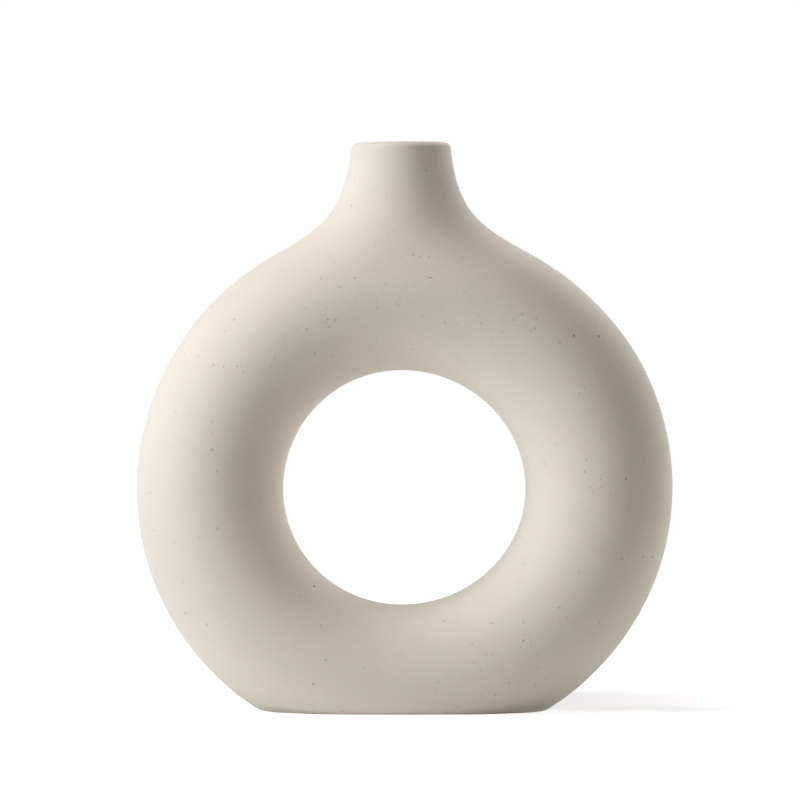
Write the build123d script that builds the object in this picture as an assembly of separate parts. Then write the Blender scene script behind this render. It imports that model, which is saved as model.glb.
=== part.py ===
from build123d import *
from build123d.topology import SkipClean
import math
import os

# Donut vase: one hollow slip-cast ring with a flat foot and a short flared neck, on four soft pads.
# Millimetres. +Z is up, +X runs across the ring and the vase faces -Y.
# The origin is on the surface that the vase stands on, under the middle of the ring.

# Ring
hole_diameter = 84.0
tube_diameter = 51.0
wall = 4.5

# Neck
neck_height = 27.9  # from the ring's own top up to the lip
neck_diameter = 34.8  # outside, at the lip
neck_root_share = 0.755  # the neck's width at the middle of the tube, as a share of the tube's depth
blend_radius = 37.5  # the hollow curve between neck and shoulder
lip_radius = 2.1  # rounding of the lip, outside and inside

# Foot
foot_cut = 13.9  # how much of the ring's underside the flat foot takes off
foot_edge_radius = 3.0
inside_foot_radius = 6.0  # the slip gathers in the corner, so the inside is rounder
recess_length = 44.0  # a shallow oval hollow in the underside keeps the foot from rocking
recess_width = 15.0
recess_depth = 1.0

# Pads, glued into shallow pockets near the corners of the foot
pad_diameter = 8.0
pad_thickness = 1.0
pad_bevel = 0.3
pad_spacing_x = 60.0
pad_spacing_y = 12.0
pocket_depth = 0.7
pocket_clearance = 0.25  # all round the pad

# The ring is made of two arcs, so that it keeps its seams clear of the neck and the foot
top_arc_start = 30.0  # degrees from +X
top_arc_turn = 120.0
full_turn = 360.0

overrun = 5.0  # how far a cutting shape reaches past what it cuts
rounding_share = 0.49  # the most of a thickness that one rounding may take

tube_radius = tube_diameter / 2
ring_radius = hole_diameter / 2 + tube_radius  # of the circle through the middle of the tube
ring_reach = ring_radius + tube_radius
foot_level = pad_thickness - pocket_depth
ring_level = foot_level + ring_reach - foot_cut
lip_level = ring_level + ring_reach + neck_height
neck_root_level = ring_level + ring_radius

neck_radius = neck_diameter / 2
neck_root_radius = neck_root_share * tube_radius
neck_length = lip_level - neck_root_level
neck_slope = (neck_root_radius - neck_radius) / neck_length
lip_rounding = min(lip_radius, rounding_share * wall)


def blend_room():
    """The largest blend that still meets the neck below the rounding of the lip."""
    rise = ring_reach + neck_height - lip_rounding
    return (rise**2 - ring_reach**2 + neck_radius**2) / (2 * (ring_reach - neck_radius))


blend = min(blend_radius, blend_room())


def tube_arc(radius, start, turn):
    """A length of the ring's tube, with the tube's own seam on the side that faces the hole."""
    angle = math.radians(start)
    outwards = Vector(math.cos(angle), 0, math.sin(angle))
    along = Vector(-math.sin(angle), 0, math.cos(angle))
    middle = Vector(0, 0, ring_level)
    section = Plane(origin=middle + outwards * ring_radius, x_dir=-outwards, z_dir=along) * Circle(radius)
    return revolve(section, Axis(middle, (0, -1, 0)), turn)


def ring(inset):
    """The whole ring, drawn in by inset all round."""
    radius = tube_radius - inset
    top = tube_arc(radius, top_arc_start, top_arc_turn)
    return top + tube_arc(radius, top_arc_start + top_arc_turn, full_turn - top_arc_turn)


def neck(inset, rise):
    """The tapered neck from the middle of the tube to rise above the lip, drawn in by inset."""
    across = inset * math.hypot(1, neck_slope)
    return Pos(0, 0, neck_root_level) * Cone(
        bottom_radius=neck_root_radius - across,
        top_radius=neck_radius - across - rise * neck_slope,
        height=neck_length + rise,
        align=(Align.CENTER, Align.CENTER, Align.MIN),
    )


def neck_joint(form):
    """The edges where the neck leaves the ring."""
    return [
        edge
        for edge in form.edges()
        if edge.bounding_box().min.Z > neck_root_level
        and edge.bounding_box().max.Z < lip_level - lip_rounding
    ]


def form(inset, rise, foot_rounding):
    """The vase as a closed form, drawn in by inset: 0 gives its outside, and the wall gives its inside."""
    under_foot = Pos(0, 0, foot_level + inset) * Box(
        2 * (ring_reach + overrun),
        tube_diameter + 2 * overrun,
        ring_reach,
        align=(Align.CENTER, Align.CENTER, Align.MAX),
    )
    # the ring's arcs stay separate faces here: merged, they would close on themselves both ways
    with SkipClean():
        joined = ring(inset) + neck(inset, rise)
        stood = fillet(neck_joint(joined), blend + inset) - under_foot
    foot = stood.faces().filter_by(Axis.Z).sort_by(Axis.Z)[0]
    return fillet(foot.edges(), foot_rounding)


def pad_places():
    """Each pad's name and the middle of its underside."""
    for side, x in (("left", -pad_spacing_x / 2), ("right", pad_spacing_x / 2)):
        for end, y in (("front", -pad_spacing_y / 2), ("back", pad_spacing_y / 2)):
            yield f"foot_pad_{end}_{side}", (x, y, 0)


def recess():
    """The shallow oval hollow in the underside."""
    oval = Pos(0, 0, foot_level - overrun) * Ellipse(recess_length / 2, recess_width / 2)
    return extrude(oval, amount=overrun + recess_depth)


def pockets():
    """The four shallow round seats of the pads."""
    seat = Cylinder(
        pad_diameter / 2 + pocket_clearance,
        pad_thickness + overrun,
        align=(Align.CENTER, Align.CENTER, Align.MAX),
    )
    return [Pos(x, y, pad_thickness) * seat for _, (x, y, _) in pad_places()]


def vase_body():
    """The hollow ceramic body, open only at the lip."""
    outside = form(0, 0, foot_edge_radius)
    inside = form(wall, overrun, inside_foot_radius)
    with SkipClean():
        hollow = outside - inside
        lip = hollow.faces().filter_by(Axis.Z).sort_by(Axis.Z)[-1]
        return fillet(lip.edges(), lip_rounding) - recess() - pockets()


def foot_pad():
    """One soft pad, bevelled at its lower edge, standing on the ground."""
    disc = Cylinder(pad_diameter / 2, pad_thickness, align=(Align.CENTER, Align.CENTER, Align.MIN))
    rim = disc.edges().sort_by(Axis.Z)[0]
    return chamfer(rim, min(pad_bevel, rounding_share * pad_thickness))


os.makedirs("parts", exist_ok=True)
pieces = {"vase_body": vase_body()}
for name, place in pad_places():
    pieces[name] = Pos(*place) * foot_pad()
for name, piece in pieces.items():
    piece.label = name
    export_step(piece, f"parts/{name}.step")
    print(name, "volume", round(piece.volume), "mm3, valid", piece.is_valid)
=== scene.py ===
import math

import bmesh
import bpy
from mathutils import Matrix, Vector


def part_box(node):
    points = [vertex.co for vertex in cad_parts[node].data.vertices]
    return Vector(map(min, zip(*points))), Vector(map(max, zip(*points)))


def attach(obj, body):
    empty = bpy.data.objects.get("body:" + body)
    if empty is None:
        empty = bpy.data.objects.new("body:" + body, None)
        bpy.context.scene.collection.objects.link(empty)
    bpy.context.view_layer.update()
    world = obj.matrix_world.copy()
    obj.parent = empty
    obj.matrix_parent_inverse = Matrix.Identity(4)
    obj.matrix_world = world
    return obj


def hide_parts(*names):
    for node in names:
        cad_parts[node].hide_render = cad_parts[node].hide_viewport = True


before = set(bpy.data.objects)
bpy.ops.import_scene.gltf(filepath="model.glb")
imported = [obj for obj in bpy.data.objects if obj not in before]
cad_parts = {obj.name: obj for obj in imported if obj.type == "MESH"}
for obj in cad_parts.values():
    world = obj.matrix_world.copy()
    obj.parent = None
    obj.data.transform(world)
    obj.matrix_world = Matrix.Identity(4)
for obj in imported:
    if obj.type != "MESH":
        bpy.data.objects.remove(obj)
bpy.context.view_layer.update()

# Donut vase: a slip-cast ring of speckled matte stoneware with a flared neck, on four clear pads.
# Metres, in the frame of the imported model: +Z up, the vase faces -Y and stands on Z 0.
MM = 0.001

vase_low, vase_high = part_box("vase_body")
FOOT_LEVEL = vase_low.z
LIP_LEVEL = vase_high.z
RING_LEVEL = FOOT_LEVEL + 78.7 * MM  # the middle of the ring

WALL = 4.5 * MM
LIP_HEIGHT = 2.4 * MM  # of the lip's rounding
LIP_OUTSIDE = 2.6 * MM  # how far in the rounding reaches from the neck's outside
LIP_INSIDE = 1.7 * MM
LIP_SLOPE = 0.05  # radians, how far the neck's wall leans in below the lip
LIP_DROP = 0.95 * MM  # the lip was sponged down a little, more on the left
LIP_TILT = 0.012  # radians
INSIDE_FOOT_RADIUS = 6.0 * MM

# The form's rule, in the order of the tree's inputs; levels count from the middle of the ring
FORM_SIZES = {
    "Ring half width": 68.1 * MM,
    "Ring half height": 66.69 * MM,
    "Ring lift": 0.18 * MM,
    "Tube radius": 25.56 * MM,
    "Fuller above": 0.19 * MM,
    "Fuller to the right": 0.28 * MM,
    "Fuller below left": 0.85 * MM,
    "Fuller above left": -0.3 * MM,
    "Fuller above right": -0.3 * MM,
    "Hole smaller": 0.22 * MM,
    "Hole off centre": 0.22 * MM,
    "Hole three-sided": 0.21 * MM,
    "Top sway": -0.5 * MM,
    "Neck radius": 17.0 * MM,
    "Neck flare": 0.0072,
    "Neck shift": -1.2 * MM,
    "Lip level": LIP_LEVEL - RING_LEVEL,
    "Neck root": 66.7 * MM,
    "Blend fade": 8.0 * MM,
    "Blend": 15.29 * MM,
    "Foot level": FOOT_LEVEL - RING_LEVEL,
    "Foot rounding": 1.0 * MM,
    "Foot left rounding": 17.0 * MM,
    "Foot right rounding": 15.0 * MM,
}
# Where the ring is a little fuller or flatter than a circle, in degrees from the right
BULGES = {"Fuller below left": 225, "Fuller above left": 145, "Fuller above right": 35}
# How the hole is a little out of round: waves round it, and the first one's place in degrees
HOLE_WAVES = {"Hole off centre": (1, 127), "Hole three-sided": (3, 155)}

# Where the form's rule changes from place to place
SWAY_FROM = 45 * MM  # above the ring's middle, the top's sway grows between these levels
SWAY_TO = 68 * MM
TIP_FROM = 18 * MM  # to each side, the foot's rounding grows between these places
TIP_TO = 50 * MM
TIP_BEND = 0.3  # how much later it grows away from the middle plane
FOOT_DEPTH = 0.2  # of the rounding, over which the foot takes over from the ring
TILT_FROM = 14 * MM  # below the lip, where the neck starts to follow the lip's drop and tilt
TILT_HEIGHT = 12 * MM
RIM_FREE = 12 * MM  # below the lip, a point settles freely up to here and keeps its level from RIM_HELD
RIM_HELD = 4 * MM

# The blank: how many facets the rough ring has before it is smoothed
RING_FACETS = 32
TUBE_FACETS = 12
SHOULDER_FACETS = 6  # of the ring's facets, left open on top for the neck
CROWN_FACETS = 4  # of the tube's facets, left open on top for the neck
NECK_INWARDS = (0.36, 0.64, 0.84, 0.95, 1.0)  # the rough neck's rows, as shares of the way to the rim
NECK_UPWARDS = (0.10, 0.27, 0.50, 0.75, 1.0)
SMOOTHING = 3
SETTLE_STEPS = 10
FEELER = 0.1 * MM  # how far to each side a point feels for the form's slope
EDGE_HEIGHT = 5.0 * MM  # up to here above the foot's flat, the mesh is finer for the foot's edge
FLAT_ROUGHNESS = 0.02 * MM  # how far from level the foot's flat may be
EDGE_CUTS = 3
LIP_ROWS = 7  # on each side of the lip
BODY_CREASE = 35  # degrees; sharper edges are shaded as creases

# Pads
PAD_DIAMETER = 8.0 * MM
PAD_THICKNESS = 1.0 * MM
PAD_ROUNDING = 0.35 * MM
PAD_SPACING = (60.0 * MM, 12.0 * MM)
POCKET_DIAMETER = 8.5 * MM
POCKET_CEILING = 1.0 * MM
RECESS_LENGTH = 44.0 * MM
RECESS_WIDTH = 15.0 * MM
RECESS_CEILING = FOOT_LEVEL + 1.0 * MM
CUTTER_REACH = 4 * MM  # below the foot's flat
RECESS_SIDES = 96
POCKET_SIDES = 48
PAD_CREASE = 40  # degrees

# Glaze and clay: colours, and the sizes of the clouds that mix them
CREAM = (0.765, 0.700, 0.601, 1)
PALE_CREAM = (0.745, 0.694, 0.610, 1)
SAND = (0.735, 0.678, 0.583, 1)
ROSY_SAND = (0.765, 0.674, 0.588, 1)
INSIDE_CREAM = (0.78, 0.72, 0.64, 1)
DUST_BROWN = (0.40, 0.32, 0.26, 1)
RUST = (0.36, 0.25, 0.19, 1)
GREY_RUST = (0.27, 0.24, 0.21, 1)
IRON = (0.085, 0.066, 0.05, 1)
CLAY = (0.60, 0.52, 0.43, 1)
PALE_CLAY = (0.66, 0.58, 0.49, 1)
CLAY_SPECK = (0.22, 0.16, 0.11, 1)
BROAD_CLOUDS = 60 * MM
FINE_CLOUDS = 9 * MM
SMALL_CLOUDS = 5 * MM

# Specks: size of their cells, smallest and largest radius, share of the cells with a speck, softness
FAINT_SPECKS = (2.5 * MM, 0.18 * MM, 0.52 * MM, 0.72, 0.6)
DARK_SPECKS = (4.5 * MM, 0.22 * MM, 0.52 * MM, 0.21, 0.45)
DUST_SPECKS = (1.5 * MM, 0.08 * MM, 0.24 * MM, 0.85, 0.6)
SPECK_CLUSTERS = 16 * MM
RAGGEDNESS = 0.45 * MM  # of the specks' outlines

# The glaze's relief, as sizes and heights, and its wiped edge above the foot's flat
SWELL_SIZE = 26 * MM
SWELL_HEIGHT = 0.16 * MM
SKIN_SIZE = 1.6 * MM
SKIN_HEIGHT = 0.012 * MM
GRAIN_SIZE = 0.35 * MM
GRAIN_HEIGHT = 0.004 * MM
CLAY_GRAIN_HEIGHT = 0.03 * MM
SPECK_DEPTH = 0.02 * MM
WIPED_HEIGHT = 0.55 * MM
WIPED_WANDER = 0.5 * MM
WIPED_SOFTNESS = 0.15 * MM

# Camera
CAMERA_DISTANCE = 2.55
CAMERA_WIDTH = 0.2797  # of the view, at the vase
CAMERA_SIDE = -1.5 * MM
CAMERA_HEIGHT = RING_LEVEL + 30.4 * MM
SENSOR_WIDTH = 36  # in the camera's own unit, like its focal length

# Studio: soft boxes of one size. Each is azimuth, elevation, power and colour; azimuth 0 is at the
# camera, and 90 on the right
BOX_WIDTH = 0.6
BOX_HEIGHT = 0.7
BOX_DISTANCE = 1.3  # from the point that they are aimed at
AIM_LEVEL = 0.1
SOFT_BOXES = {
    "low left": (-68, 5, 11.6, (0.91, 1.0, 1.09)),
    "high left": (-60, 65, 9.9, (1.08, 1.0, 0.98)),
    "low right": (120, 5, 5.7, (1.07, 1.0, 0.96)),
    "high right": (140, 40, 4.2, (0.94, 1.0, 1.05)),
}
WORLD_FILL = 0.04
FLOOR_RADIUS = 6.0
FLOOR_SIDES = 64
FLOOR_WHITE = 0.92
SHADOW_PLACE = (30 * MM, 139 * MM)  # the floor's white glow is weakest here and grows outwards, so the floor shows a painted shadow here on top of the lamps' real one
SHADOW_REACH = 260 * MM
SHADOW_START = -20 * MM  # less than 0, so that a little of the glow is left in the middle
UNDER_GLOW = 0.33  # of the floor under the foot only: a painted glow, though the floor is no lamp, that lights the underside so that it can be seen from below, and lightens the foot's edge
UNDER_LENGTH = 60 * MM  # from the middle to where this glow has faded out
UNDER_WIDTH = 27 * MM


class Wire:
    """A value on its way through a node tree. Sums on it add Math nodes to the tree."""

    def __init__(self, tree, socket=None):
        self.tree = tree
        self.socket = socket

    def node(self, kind, settings=None, inputs=None, out=0):
        """Adds a node: its settings first, then the values or wires of its sockets. Gives one output."""
        made = self.tree.nodes.new(kind)
        for name, value in (settings or {}).items():
            setattr(made, name, value)
        for place, value in (inputs or {}).items():
            if isinstance(value, Wire):
                self.tree.links.new(value.socket, made.inputs[place])
            else:
                made.inputs[place].default_value = value
        return Wire(self.tree, made.outputs[out])

    def math(self, operation, *values):
        return self.node("ShaderNodeMath", {"operation": operation}, dict(enumerate(values)))

    def __add__(self, other):
        return self.math("ADD", self, other)

    def __radd__(self, other):
        return self.math("ADD", other, self)

    def __sub__(self, other):
        return self.math("SUBTRACT", self, other)

    def __rsub__(self, other):
        return self.math("SUBTRACT", other, self)

    def __mul__(self, other):
        return self.math("MULTIPLY", self, other)

    def __rmul__(self, other):
        return self.math("MULTIPLY", other, self)

    def __truediv__(self, other):
        return self.math("DIVIDE", self, other)

    def __pow__(self, other):
        return self.math("POWER", self, other)

    def outputs(self):
        """Every output of the node that this wire comes from."""
        return [Wire(self.tree, socket) for socket in self.socket.node.outputs]

    def parts(self):
        """The three numbers of a vector."""
        return self.node("ShaderNodeSeparateXYZ", inputs={0: self}).outputs()

    def vector(self, x, y, z):
        return self.node("ShaderNodeCombineXYZ", inputs={0: x, 1: y, 2: z})

    def vector_math(self, operation, *values):
        return self.node("ShaderNodeVectorMath", {"operation": operation}, dict(enumerate(values)))

    def at_least(self, low):
        return self.math("MAXIMUM", self, low)

    def cosine(self):
        return self.math("COSINE", self)

    def clamped(self):
        return self.node("ShaderNodeClamp", inputs={0: self})

    def rise(self, low, high):
        """0 up to low, 1 from high on, and a smooth climb in between."""
        return self.node(
            "ShaderNodeMapRange", {"interpolation_type": "SMOOTHSTEP"}, {0: self, 1: low, 2: high}
        )

    def blend(self, first, second):
        """From the first colour to the second as this share goes from 0 to 1."""
        return self.node("ShaderNodeMix", {"data_type": "RGBA"}, {0: self, 6: first, 7: second}, 2)


def hypot(a, b):
    return (a * a + b * b) ** 0.5


def new_tree(name, inputs, outputs):
    """An empty Geometry Nodes tree with named inputs and outputs, as {name: wire} of its inputs."""
    tree = bpy.data.node_groups.new(name, "GeometryNodeTree")
    for label, (kind, value) in inputs.items():
        socket = tree.interface.new_socket(label, in_out="INPUT", socket_type=kind)
        if value is not None:
            socket.default_value = value
    for label, kind in outputs.items():
        tree.interface.new_socket(label, in_out="OUTPUT", socket_type=kind)
    entry = tree.nodes.new("NodeGroupInput")
    return tree, {label: Wire(tree, entry.outputs[label]) for label in inputs}


def close_tree(tree, **results):
    leave = tree.nodes.new("NodeGroupOutput")
    for label, wire in results.items():
        tree.links.new(wire.socket, leave.inputs[label])


def size_inputs(sizes):
    return {label: ("NodeSocketFloat", value) for label, value in sizes.items()}


def ring_reading(x, y, z, size):
    """Where a point is, seen from the ring's middle line, which is a slightly flattened circle."""
    half_width, half_height = size["Ring half width"], size["Ring half height"]
    across = (x - size["Top sway"] * z.rise(SWAY_FROM, SWAY_TO)) / half_width
    up = (z - size["Ring lift"]) / half_height
    turn = hypot(across, up)
    pull = hypot(across / half_width, up / half_height) / turn
    outwards = (turn - 1) / pull
    reach = hypot(outwards, y)
    tube = size["Tube radius"] + size["Fuller above"] * up / turn
    tube = tube + size["Fuller to the right"] * across / turn
    outer_side = (outwards / reach).at_least(0) ** 2
    for label, degrees in BULGES.items():
        angle = math.radians(degrees)
        toward = (across * math.cos(angle) + up * math.sin(angle)) / turn
        tube = tube + size[label] * toward.at_least(0) ** 4 * outer_side
    hole = size["Hole smaller"]
    around = up.math("ARCTAN2", up, across)
    for label, (waves, degrees) in HOLE_WAVES.items():
        hole = hole + size[label] * (around * waves - math.radians(degrees)).cosine()
    tube = tube + hole * (outwards / reach * -1).at_least(0) ** 2
    normal = (outwards * across / turn / reach, y / reach, outwards * up / turn / reach)
    return reach - tube, normal


def form_tree():
    """How far a point is from the vase's outside: less than 0 in the vase, more than 0 in the air."""
    tree, size = new_tree(
        "distance to the vase",
        {"Point": ("NodeSocketVector", None), **size_inputs(FORM_SIZES)},
        {"Distance": "NodeSocketFloat"},
    )
    x, y, z = size["Point"].parts()
    ring, normal = ring_reading(x, y, z, size)

    # the foot: a flat cut, nearly sharp in front and behind, with a large rounding at its two tips
    rounding = size["Foot rounding"]
    aside = y.math("ABSOLUTE", y) * TIP_BEND
    for label, end in (("Foot left rounding", x * -1 - aside), ("Foot right rounding", x - aside)):
        rounding = rounding + end.rise(TIP_FROM, TIP_TO) * (size[label] - size["Foot rounding"])
    core = size["Foot level"] + rounding
    core_ring, core_normal = ring_reading(x, y, core, size)
    core_slope = hypot(core_normal[0], core_normal[1])
    beyond = ((core_ring + rounding) / core_slope).at_least(0)
    rounded = hypot(beyond, core - z) - rounding
    under = core - z + (ring + rounding) * normal[2]
    share = under.rise(0, rounding * FOOT_DEPTH)
    standing = ring + share * (rounded - ring)

    # the neck: a slim cone on the ring's top, leaning a little
    lip = size["Lip level"]
    neck_x = x - size["Neck shift"]
    radius = hypot(neck_x, y)
    flare = size["Neck flare"]
    cone = radius - size["Neck radius"] - (lip - z) * flare
    cone = cone.at_least(size["Neck root"] - z)
    meeting = (neck_x * normal[0] + y * normal[1]) / radius + normal[2] * flare
    turned = (1 - ((meeting + 1) / 2) ** 0.5).at_least(0)
    fade = ((z - size["Neck root"]) / size["Blend fade"]).clamped() ** 0.5
    width = 6 * size["Blend"] * turned ** 0.5 * fade
    close_tree(tree, Distance=standing.math("SMOOTH_MIN", standing, cone, width))
    return tree


def vase_tree(distance):
    """Smooths a rough blank and settles it on the form, drawn in by Inset."""
    tree, size = new_tree(
        "vase form",
        {
            "Geometry": ("NodeSocketGeometry", None),
            "Inset": ("NodeSocketFloat", 0.0),
            "Smoothing": ("NodeSocketInt", SMOOTHING),
            "Steps": ("NodeSocketInt", SETTLE_STEPS),
            "Feeler": ("NodeSocketFloat", FEELER),
            "Inside": ("NodeSocketFloat", 0.0),
            "Material": ("NodeSocketMaterial", None),
            **size_inputs(FORM_SIZES),
        },
        {"Geometry": "NodeSocketGeometry"},
    )
    start = Wire(tree)
    smooth = start.node(
        "GeometryNodeSubdivisionSurface",
        inputs={"Mesh": size["Geometry"], "Level": size["Smoothing"]},
        out="Mesh",
    )
    first = tree.nodes.new("GeometryNodeRepeatInput")
    last = tree.nodes.new("GeometryNodeRepeatOutput")
    first.pair_with_output(last)
    tree.links.new(size["Steps"].socket, first.inputs["Iterations"])
    tree.links.new(smooth.socket, first.inputs["Geometry"])

    place = start.node("GeometryNodeInputPosition")
    inset = size["Inset"]
    feeler = size["Feeler"]
    sizes = {label: size[label] for label in FORM_SIZES}

    def felt(point):
        settings = {"node_tree": distance}
        return start.node("GeometryNodeGroup", settings, {"Point": point, **sizes})

    here = felt(place)
    slopes = []
    for axis in range(3):
        aside = [0, 0, 0]
        aside[axis] = feeler
        point = start.vector_math("ADD", place, start.vector(*aside))
        slopes.append((felt(point) - here) / feeler)
    # near the lip a point keeps its level, so that the rim stays flat
    level = place.parts()[2]
    lip = size["Lip level"]
    free = 1 - level.rise(lip - RIM_FREE, lip - RIM_HELD)
    held = [slopes[0], slopes[1], slopes[2] * free]
    steepness = held[0] * slopes[0] + held[1] * slopes[1] + held[2] * slopes[2]
    step = (here + inset) / steepness
    shift = start.vector(*(part * step * -1 for part in held))
    moved = start.node(
        "GeometryNodeSetPosition",
        inputs={"Geometry": Wire(tree, first.outputs["Geometry"]), "Offset": shift},
    )
    tree.links.new(moved.socket, last.inputs["Geometry"])

    settled = Wire(tree, last.outputs["Geometry"])
    marked = start.node(
        "GeometryNodeStoreNamedAttribute",
        {"data_type": "FLOAT", "domain": "POINT"},
        {"Geometry": settled, "Name": "inside", "Value": size["Inside"]},
    )
    whole = start.node("GeometryNodeRealizeInstances", inputs={"Geometry": marked})
    dressed = start.node(
        "GeometryNodeSetMaterial", inputs={"Geometry": whole, "Material": size["Material"]}
    )
    close_tree(tree, Geometry=dressed)
    return tree


def vase_blank(tube_radius, rim_radius, rim_level):
    """A rough faceted ring with a rough neck, open at the rim; levels count from the ring's middle."""
    mesh = bmesh.new()
    ring_radius = FORM_SIZES["Ring half width"]
    top = RING_FACETS // 4
    first_open = top - SHOULDER_FACETS // 2
    last_open = top + SHOULDER_FACETS // 2
    crown = CROWN_FACETS // 2
    grid = {}
    for i in range(RING_FACETS):
        for j in range(TUBE_FACETS):
            if first_open < i < last_open and (j < crown or j > TUBE_FACETS - crown):
                continue
            around = 2 * math.pi * i / RING_FACETS
            about = 2 * math.pi * j / TUBE_FACETS
            out = ring_radius + tube_radius * math.cos(about)
            place = (out * math.cos(around), -tube_radius * math.sin(about), out * math.sin(around))
            grid[i, j] = mesh.verts.new(place)
    for i in range(RING_FACETS):
        for j in range(TUBE_FACETS):
            in_opening = first_open <= i < last_open and (j < crown or j >= TUBE_FACETS - crown)
            if in_opening:
                continue
            right, up = (i + 1) % RING_FACETS, (j + 1) % TUBE_FACETS
            mesh.faces.new((grid[i, j], grid[right, j], grid[right, up], grid[i, up]))

    # the opening's edge, round from the right-hand front corner
    back = TUBE_FACETS - crown
    edge = [grid[i, crown] for i in range(first_open, last_open)]
    edge += [grid[last_open, j] for j in range(crown, -1, -1)]
    edge += [grid[last_open, j] for j in range(TUBE_FACETS - 1, back, -1)]
    edge += [grid[i, back] for i in range(last_open, first_open, -1)]
    edge += [grid[first_open, j % TUBE_FACETS] for j in range(back, TUBE_FACETS + crown)]
    count = len(edge)
    shift = FORM_SIZES["Neck shift"]
    below = edge
    for inwards, upwards in zip(NECK_INWARDS, NECK_UPWARDS):
        row = []
        for k, corner in enumerate(edge):
            angle = -math.pi / 2 + 2 * math.pi * (SHOULDER_FACETS / 2 - k) / count
            rim = Vector((rim_radius * math.cos(angle) + shift, rim_radius * math.sin(angle), rim_level))
            flat = corner.co.lerp(rim, inwards)
            level = corner.co.z + (rim_level - corner.co.z) * upwards
            row.append(mesh.verts.new((flat.x, flat.y, level)))
        for k in range(count):
            n = (k + 1) % count
            mesh.faces.new((below[k], below[n], row[n], row[k]))
        below = row
    bmesh.ops.recalc_face_normals(mesh, faces=mesh.faces)
    return mesh


def as_object(name, mesh):
    """Makes an object of a bmesh, at the origin."""
    data = bpy.data.meshes.new(name)
    mesh.to_mesh(data)
    mesh.free()
    made = bpy.data.objects.new(name, data)
    bpy.context.scene.collection.objects.link(made)
    return made


def settled_mesh(name, blank, tree, **inputs):
    """Runs the tree on a blank and gives the plain mesh."""
    made = as_object(name, blank)
    modifier = made.modifiers.new("form", "NODES")
    modifier.node_group = tree
    sockets = {item.name: item.identifier for item in tree.interface.items_tree if item.in_out == "INPUT"}
    for label, value in inputs.items():
        modifier[sockets[label.replace("_", " ")]] = value
    bpy.context.view_layer.update()
    view = made.evaluated_get(bpy.context.evaluated_depsgraph_get())
    plain = bpy.data.meshes.new_from_object(view)
    bpy.data.objects.remove(made)
    return plain


def finer_at_foot(mesh):
    """Divides the faces round the foot's edge, so that it comes out crisp."""
    fine = bmesh.new()
    fine.from_mesh(mesh)
    flat = FORM_SIZES["Foot level"]
    edges = set()
    for face in fine.faces:
        highest = max(vert.co.z for vert in face.verts)
        if flat + FLAT_ROUGHNESS < highest < flat + EDGE_HEIGHT:
            edges.update(face.edges)
    bmesh.ops.subdivide_edges(fine, edges=list(edges), cuts=EDGE_CUTS, use_grid_fill=True)
    return fine


def rim_of(mesh):
    """The vertices of an open edge, in order round it."""
    edges = [edge for edge in mesh.edges if edge.is_boundary]
    start = edges[0].verts[0]
    loop, last = [start], None
    while True:
        here = loop[-1]
        onward = [edge for edge in here.link_edges if edge.is_boundary and edge is not last]
        last = onward[0]
        following = last.other_vert(here)
        if following is start:
            return loop
        loop.append(following)


def roll_lip(mesh, outer_rim, inner_rim):
    """Closes the wall with a rounded lip, row by row from the outer rim to the inner one."""
    inside = mesh.verts.layers.float["inside"]
    count = len(outer_rim)
    middle = sum((vert.co for vert in outer_rim), Vector()) / count
    first = [LIP_SLOPE + (math.pi / 2 - LIP_SLOPE) * k / LIP_ROWS for k in range(1, LIP_ROWS + 1)]
    second = [math.pi / 2 + (math.pi / 2 + LIP_SLOPE) * k / LIP_ROWS for k in range(LIP_ROWS)]
    rows = [outer_rim]
    for from_outer, angles in ((True, first), (False, second)):
        for angle in angles:
            row = []
            for outer, inner in zip(outer_rim, inner_rim):
                start = outer if from_outer else inner
                out = Vector((start.co.x - middle.x, start.co.y - middle.y, 0)).normalized()
                tangent = LIP_SLOPE if from_outer else math.pi + LIP_SLOPE
                reach = LIP_OUTSIDE if from_outer else LIP_INSIDE
                across = reach * (math.cos(angle) - math.cos(tangent))
                up = LIP_HEIGHT * (math.sin(angle) - math.sin(tangent))
                vert = mesh.verts.new(start.co + out * across + Vector((0, 0, up)))
                vert[inside] = 0.0 if from_outer else 1.0
                row.append(vert)
            rows.append(row)
    rows.append(inner_rim)
    for below, above in zip(rows, rows[1:]):
        for k in range(count):
            n = (k + 1) % count
            mesh.faces.new((below[k], below[n], above[n], above[k]))


def tilt_lip(mesh):
    """Lowers and tilts the lip; the levels below it in the neck stay."""
    lip = FORM_SIZES["Lip level"]
    for vert in mesh.verts:
        share = min(max((vert.co.z - lip + TILT_FROM) / TILT_HEIGHT, 0), 1)
        drop = LIP_DROP - LIP_TILT * (vert.co.x - FORM_SIZES["Neck shift"])
        vert.co.z -= drop * share * share * (3 - 2 * share)


def oval_cutter(name, half_length, half_width, ceiling, sides, middle=(0, 0)):
    """A closed upright oval block that cuts a hollow in the underside."""
    mesh = bmesh.new()
    rows = []
    for level in (FOOT_LEVEL - CUTTER_REACH, ceiling):
        row = []
        for k in range(sides):
            angle = 2 * math.pi * k / sides
            x = middle[0] + half_length * math.cos(angle)
            y = middle[1] + half_width * math.sin(angle)
            row.append(mesh.verts.new((x, y, level)))
        rows.append(row)
    for k in range(sides):
        n = (k + 1) % sides
        mesh.faces.new((rows[0][k], rows[0][n], rows[1][n], rows[1][k]))
    mesh.faces.new(rows[0])
    mesh.faces.new(rows[1])
    bmesh.ops.recalc_face_normals(mesh, faces=mesh.faces)
    return as_object(name, mesh)


def cut_away(piece, cutters):
    """Takes the cutters out of the piece and leaves a plain mesh."""
    for cutter in cutters:
        modifier = piece.modifiers.new("cut", "BOOLEAN")
        modifier.operation = "DIFFERENCE"
        modifier.solver = "EXACT"
        modifier.object = cutter
    bpy.context.view_layer.update()
    view = piece.evaluated_get(bpy.context.evaluated_depsgraph_get())
    plain = bpy.data.meshes.new_from_object(view)
    piece.modifiers.clear()
    piece.data = plain
    for cutter in cutters:
        bpy.data.objects.remove(cutter)


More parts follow.
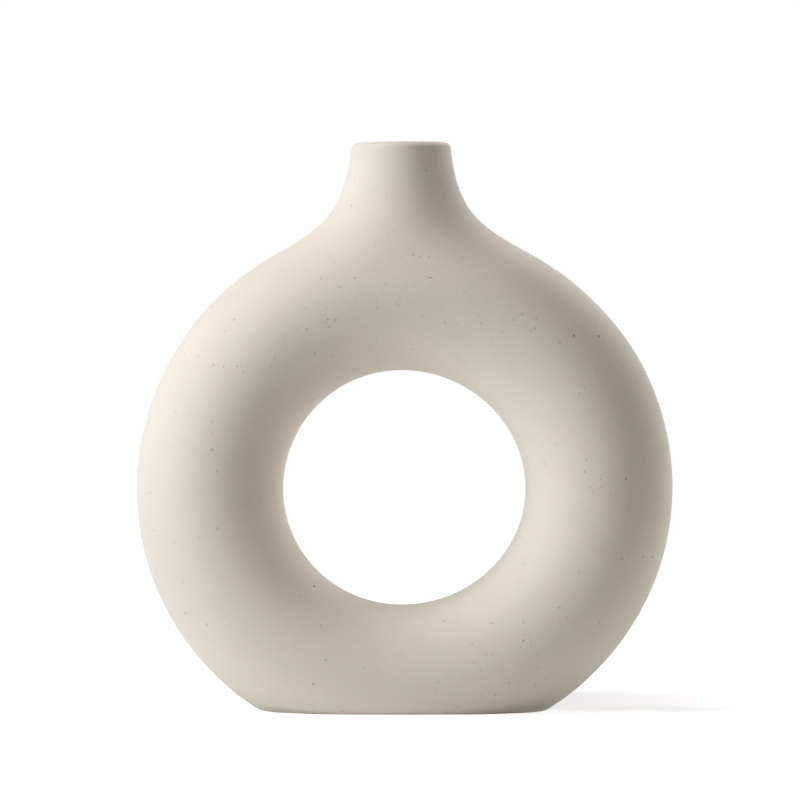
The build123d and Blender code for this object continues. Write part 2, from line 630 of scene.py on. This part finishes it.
def pad_places():
    half_x, half_y = PAD_SPACING[0] / 2, PAD_SPACING[1] / 2
    return [(x, y) for x in (-half_x, half_x) for y in (-half_y, half_y)]


def make_body(material):
    """The hollow body: outside and inside of one form, joined by the rolled lip."""
    tree = vase_tree(form_tree())
    lip = FORM_SIZES["Lip level"]
    outer_level = lip - LIP_HEIGHT * (1 - math.sin(LIP_SLOPE))
    inner_level = lip - LIP_HEIGHT * (1 + math.sin(LIP_SLOPE))
    neck_radius = FORM_SIZES["Neck radius"]
    tube_radius = FORM_SIZES["Tube radius"]
    rough = settled_mesh("outside", vase_blank(tube_radius, neck_radius, outer_level), tree, Inset=0.0)
    outer = settled_mesh("outside", finer_at_foot(rough), tree, Inset=0.0, Smoothing=0, Material=material)
    inner = settled_mesh(
        "inside",
        vase_blank(tube_radius - WALL, neck_radius - WALL, inner_level),
        tree,
        Inset=WALL,
        Inside=1.0,
        Foot_rounding=WALL + INSIDE_FOOT_RADIUS,
        Material=material,
    )
    mesh = bmesh.new()
    mesh.from_mesh(outer)
    outer_rim = rim_of(mesh)
    order = [vert.index for vert in outer_rim]
    count = len(mesh.verts)
    mesh.from_mesh(inner)
    mesh.verts.ensure_lookup_table()
    inner_rim = [mesh.verts[count + index] for index in order]
    roll_lip(mesh, outer_rim, inner_rim)
    tilt_lip(mesh)
    bmesh.ops.translate(mesh, vec=(0, 0, RING_LEVEL), verts=mesh.verts)
    bmesh.ops.recalc_face_normals(mesh, faces=mesh.faces)
    body = as_object("vase", mesh)
    body.data.materials.append(material)

    cutters = [oval_cutter("recess", RECESS_LENGTH / 2, RECESS_WIDTH / 2, RECESS_CEILING, RECESS_SIDES)]
    for place in pad_places():
        half = POCKET_DIAMETER / 2
        cutters.append(oval_cutter("pocket", half, half, POCKET_CEILING, POCKET_SIDES, place))
    cut_away(body, cutters)
    for face in body.data.polygons:
        face.use_smooth = True
    body.data.set_sharp_from_angle(angle=math.radians(BODY_CREASE))
    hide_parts("vase_body")
    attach(body, "root")
    return body


def pad_tree():
    """Sets one pad at each corner of an oblong."""
    tree, size = new_tree(
        "four pads",
        {
            "Geometry": ("NodeSocketGeometry", None),
            "Spacing X": ("NodeSocketFloat", PAD_SPACING[0]),
            "Spacing Y": ("NodeSocketFloat", PAD_SPACING[1]),
            "Material": ("NodeSocketMaterial", None),
        },
        {"Geometry": "NodeSocketGeometry"},
    )
    start = Wire(tree)
    corners = start.node(
        "GeometryNodeMeshGrid",
        inputs={
            "Size X": size["Spacing X"],
            "Size Y": size["Spacing Y"],
            "Vertices X": 2,
            "Vertices Y": 2,
        },
    )
    placed = start.node(
        "GeometryNodeInstanceOnPoints", inputs={"Points": corners, "Instance": size["Geometry"]}
    )
    whole = start.node("GeometryNodeRealizeInstances", inputs={"Geometry": placed})
    dressed = start.node(
        "GeometryNodeSetMaterial", inputs={"Geometry": whole, "Material": size["Material"]}
    )
    close_tree(tree, Geometry=dressed)
    return tree


def pad_blank(sides=40, steps=5):
    """One soft disc with a rounded lower edge, turned from its profile."""
    radius = PAD_DIAMETER / 2
    profile = [(0, 0), (radius * 0.5, 0)]
    for k in range(steps + 1):
        angle = math.pi / 2 * k / steps
        out = radius - PAD_ROUNDING * (1 - math.sin(angle))
        profile.append((out, PAD_ROUNDING * (1 - math.cos(angle))))
    profile += [(radius, PAD_THICKNESS), (radius * 0.5, PAD_THICKNESS), (0, PAD_THICKNESS)]
    mesh = bmesh.new()
    line = [mesh.verts.new((out, 0, up)) for out, up in profile]
    edges = [mesh.edges.new(pair) for pair in zip(line, line[1:])]
    bmesh.ops.spin(
        mesh, geom=line + edges, axis=(0, 0, 1), cent=(0, 0, 0), steps=sides, angle=2 * math.pi
    )
    bmesh.ops.remove_doubles(mesh, verts=mesh.verts, dist=0.001 * MM)
    bmesh.ops.recalc_face_normals(mesh, faces=mesh.faces)
    return mesh


def make_pads(material):
    mesh = settled_mesh("pad", pad_blank(), pad_tree(), Material=material)
    pads = bpy.data.objects.new("foot_pads", mesh)
    bpy.context.scene.collection.objects.link(pads)
    for face in mesh.polygons:
        face.use_smooth = True
    mesh.set_sharp_from_angle(angle=math.radians(PAD_CREASE))
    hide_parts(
        "foot_pad_front_left",
        "foot_pad_front_right",
        "foot_pad_back_left",
        "foot_pad_back_right",
    )
    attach(pads, "root")
    return pads


def new_material(name):
    """A material with an empty shader of its own, and the wire to start from."""
    material = bpy.data.materials.new(name)
    material.use_nodes = True
    tree = material.node_tree
    shader = tree.nodes["Principled BSDF"]
    return material, Wire(tree), shader


def feed(shader, **wires):
    for label, wire in wires.items():
        shader.id_data.links.new(wire.socket, shader.inputs[label.replace("_", " ")])


def specks(start, place, cells, smallest, largest, kept, soft_share):
    """Specks of mixed sizes, one to a cell at most. Gives their mask and a random number for each."""
    settings = {"feature": "F1", "distance": "EUCLIDEAN"}
    cell = start.node(
        "ShaderNodeTexVoronoi",
        settings,
        {"Vector": place, "Scale": 1 / cells, "Randomness": 1.0},
        "Distance",
    )
    colour = Wire(start.tree, cell.socket.node.outputs["Color"])
    chance, size, tone = colour.node("ShaderNodeSeparateColor", inputs={0: colour}).outputs()
    radius = (smallest + size * size * (largest - smallest)) / cells
    soft = radius * soft_share
    mask = 1 - cell.rise(radius - soft, radius + soft)
    present = chance.math("LESS_THAN", chance, kept)
    return mask * present, tone


def speckled_stoneware():
    """Matte off-white glaze over a speckled clay body, bare under the foot."""
    material, start, shader = new_material("speckled stoneware")
    place = start.node("ShaderNodeTexCoord", out="Object")
    height = place.parts()[2]
    inside = start.node("ShaderNodeAttribute", {"attribute_name": "inside"}, out="Fac")

    def cloud(size, detail=1.0, out=0):
        inputs = {"Vector": place, "Scale": 1 / size, "Detail": detail}
        return start.node("ShaderNodeTexNoise", inputs=inputs, out=out)

    fine = cloud(FINE_CLOUDS, 3.0)
    glaze = cloud(BROAD_CLOUDS, 2.0).rise(0.35, 0.65).blend(CREAM, PALE_CREAM)
    glaze = (fine.rise(0.3, 0.7) * 0.5).blend(glaze, SAND)
    glaze = (cloud(SMALL_CLOUDS).rise(0.3, 0.7) * 0.35).blend(glaze, ROSY_SAND)

    # the iron in the clay body burns through the glaze in specks with ragged outlines
    wobble = start.vector_math("SUBTRACT", cloud(RAGGEDNESS, out="Color"), (0.5, 0.5, 0.5))
    wobble = start.vector_math("MULTIPLY", wobble, (RAGGEDNESS, RAGGEDNESS, RAGGEDNESS))
    spot = start.vector_math("ADD", place, wobble)
    clusters = cloud(SPECK_CLUSTERS).rise(0.36, 0.62)
    faint, faint_tone = specks(start, spot, *FAINT_SPECKS)
    dark, dark_tone = specks(start, spot, *DARK_SPECKS)
    dark = dark * clusters.rise(0.3, 0.7)
    dust, _ = specks(start, spot, *DUST_SPECKS)
    rust = faint_tone.rise(0.35, 0.65).blend(RUST, GREY_RUST)
    glaze = (dust * 0.30).blend(glaze, DUST_BROWN)
    glaze = (faint * clusters * (0.16 + faint_tone * 0.34)).blend(glaze, rust)
    glaze = (dark * (0.55 + dark_tone * 0.30)).blend(glaze, IRON)
    glaze = (inside * 0.5).blend(glaze, INSIDE_CREAM)

    # the foot's flat underside is wiped clean of glaze
    edge = FOOT_LEVEL + WIPED_HEIGHT
    wander = (fine - 0.5) * WIPED_WANDER
    bare = 1 - (height + wander).rise(edge - WIPED_SOFTNESS, edge + WIPED_SOFTNESS)
    clay = fine.rise(0.3, 0.7).blend(CLAY, PALE_CLAY)
    clay = (faint * 0.6).blend(clay, CLAY_SPECK)

    matte = 0.68 + (fine - 0.5) * 0.12 + bare * 0.20 - inside * 0.15
    swell = cloud(SWELL_SIZE) * SWELL_HEIGHT
    skin = cloud(SKIN_SIZE, 2.0) * SKIN_HEIGHT
    grain = cloud(GRAIN_SIZE) * (GRAIN_HEIGHT + bare * CLAY_GRAIN_HEIGHT)
    relief = swell + skin + grain - dark * SPECK_DEPTH
    bump = start.node(
        "ShaderNodeBump", inputs={"Strength": 1.0, "Distance": 1.0, "Height": relief}, out="Normal"
    )
    feed(shader, Base_Color=bare.blend(glaze, clay), Roughness=matte, Normal=bump)
    shader.inputs["IOR"].default_value = 1.5
    shader.inputs["Specular IOR Level"].default_value = 0.3
    return material


def clear_silicone():
    """Soft cloudy pads."""
    material, start, shader = new_material("clear silicone")
    place = start.node("ShaderNodeTexCoord", out="Object")
    cloud = start.node("ShaderNodeTexNoise", inputs={"Vector": place, "Scale": 1 / (2.5 * MM)})
    colour = cloud.rise(0.3, 0.7).blend((0.58, 0.58, 0.56, 1), (0.66, 0.66, 0.64, 1))
    relief = cloud * 0.01 * MM
    bump = start.node(
        "ShaderNodeBump", inputs={"Strength": 1.0, "Distance": 1.0, "Height": relief}, out="Normal"
    )
    feed(shader, Base_Color=colour, Roughness=0.32 + cloud * 0.12, Normal=bump)
    shader.inputs["IOR"].default_value = 1.41
    shader.inputs["Transmission Weight"].default_value = 0.35
    return material


def seen(start):
    """1 for what the camera sees, also mirrored or through glass."""
    path = start.node("ShaderNodeLightPath").socket.node.outputs
    camera, mirrored, through = (
        Wire(start.tree, path[f"Is {way} Ray"]) for way in ("Camera", "Glossy", "Transmission")
    )
    return (camera + mirrored + through).clamped()


def soft_box(name, azimuth, elevation, power, colour):
    """A soft box aimed at the vase."""
    data = bpy.data.lights.new(name, "AREA")
    data.shape = "RECTANGLE"
    data.size, data.size_y = BOX_WIDTH, BOX_HEIGHT
    data.energy = power
    data.color = colour
    lamp = bpy.data.objects.new(name, data)
    around, up = math.radians(azimuth), math.radians(elevation)
    way = Vector((math.sin(around) * math.cos(up), -math.cos(around) * math.cos(up), math.sin(up)))
    lamp.location = Vector((0, 0, AIM_LEVEL)) + way * BOX_DISTANCE
    lamp.rotation_mode = "QUATERNION"
    lamp.rotation_quaternion = way.to_track_quat("Z", "Y")
    lamp.visible_camera = False
    bpy.context.scene.collection.objects.link(lamp)


def studio_world():
    """White for the camera, and a weak fill for the vase."""
    world = bpy.data.worlds.new("white studio")
    world.use_nodes = True
    bpy.context.scene.world = world
    start = Wire(world.node_tree)
    strength = WORLD_FILL + seen(start) * (1 - WORLD_FILL)
    lit = world.node_tree.nodes["Background"]
    lit.inputs["Color"].default_value = (1, 1, 1, 1)
    world.node_tree.links.new(strength.socket, lit.inputs["Strength"])


def studio_floor():
    """A wide white floor that shows white and keeps the vase's shadow. Its glow is weakest round a place
    behind the vase, a painted shadow over the lamps' real one, and under the foot it glows though it is
    no lamp, lighting the underside from below. Seen from below it is clear.
    """
    mesh = bmesh.new()
    rim = []
    for k in range(FLOOR_SIDES):
        angle = 2 * math.pi * k / FLOOR_SIDES
        corner = (FLOOR_RADIUS * math.cos(angle), FLOOR_RADIUS * math.sin(angle), 0)
        rim.append(mesh.verts.new(corner))
    mesh.faces.new(rim)
    floor = as_object("floor", mesh)
    material, start, shader = new_material("white sweep")
    tree = material.node_tree
    shader.inputs["Base Color"].default_value = (FLOOR_WHITE, FLOOR_WHITE, FLOOR_WHITE, 1)
    shader.inputs["Roughness"].default_value = 0.9
    shader.inputs["Specular IOR Level"].default_value = 0.0
    shader.inputs["Emission Color"].default_value = (1, 1, 1, 1)
    x, y, _ = start.node("ShaderNodeTexCoord", out="Object").parts()
    from_shadow = hypot(x - SHADOW_PLACE[0], y - SHADOW_PLACE[1])
    # painted shadow: the white glow the camera sees on the floor is dimmer round SHADOW_PLACE
    around = seen(start) * from_shadow.rise(SHADOW_START, SHADOW_REACH)
    # painted light: the floor glows under the foot and lights the underside and the foot's edge
    under = 1 - hypot(x / UNDER_LENGTH, y / UNDER_WIDTH).rise(0.5, 1.0)
    feed(shader, Emission_Strength=around + under * UNDER_GLOW)
    clear = start.node("ShaderNodeBsdfTransparent")
    facing = start.node("ShaderNodeNewGeometry", out="Backfacing")
    white = Wire(tree, shader.outputs[0])
    mixed = start.node("ShaderNodeMixShader", inputs={0: facing, 1: white, 2: clear})
    tree.links.new(mixed.socket, tree.nodes["Material Output"].inputs["Surface"])
    floor.data.materials.append(material)


def studio_camera():
    """A long lens a little above the vase's middle, level with the floor."""
    data = bpy.data.cameras.new("camera")
    data.sensor_width = SENSOR_WIDTH
    data.lens = SENSOR_WIDTH * CAMERA_DISTANCE / CAMERA_WIDTH
    data.clip_start, data.clip_end = 0.1, 50
    camera = bpy.data.objects.new("camera", data)
    camera.location = (CAMERA_SIDE, -CAMERA_DISTANCE, CAMERA_HEIGHT)
    camera.rotation_euler = (math.pi / 2, 0, 0)
    bpy.context.scene.collection.objects.link(camera)
    bpy.context.scene.camera = camera


studio_camera()
stoneware = speckled_stoneware()
make_body(stoneware)
make_pads(clear_silicone())
studio_floor()
studio_world()
for name, settings in SOFT_BOXES.items():
    soft_box(name, *settings)

bpy.context.scene.view_settings.view_transform = "Standard"
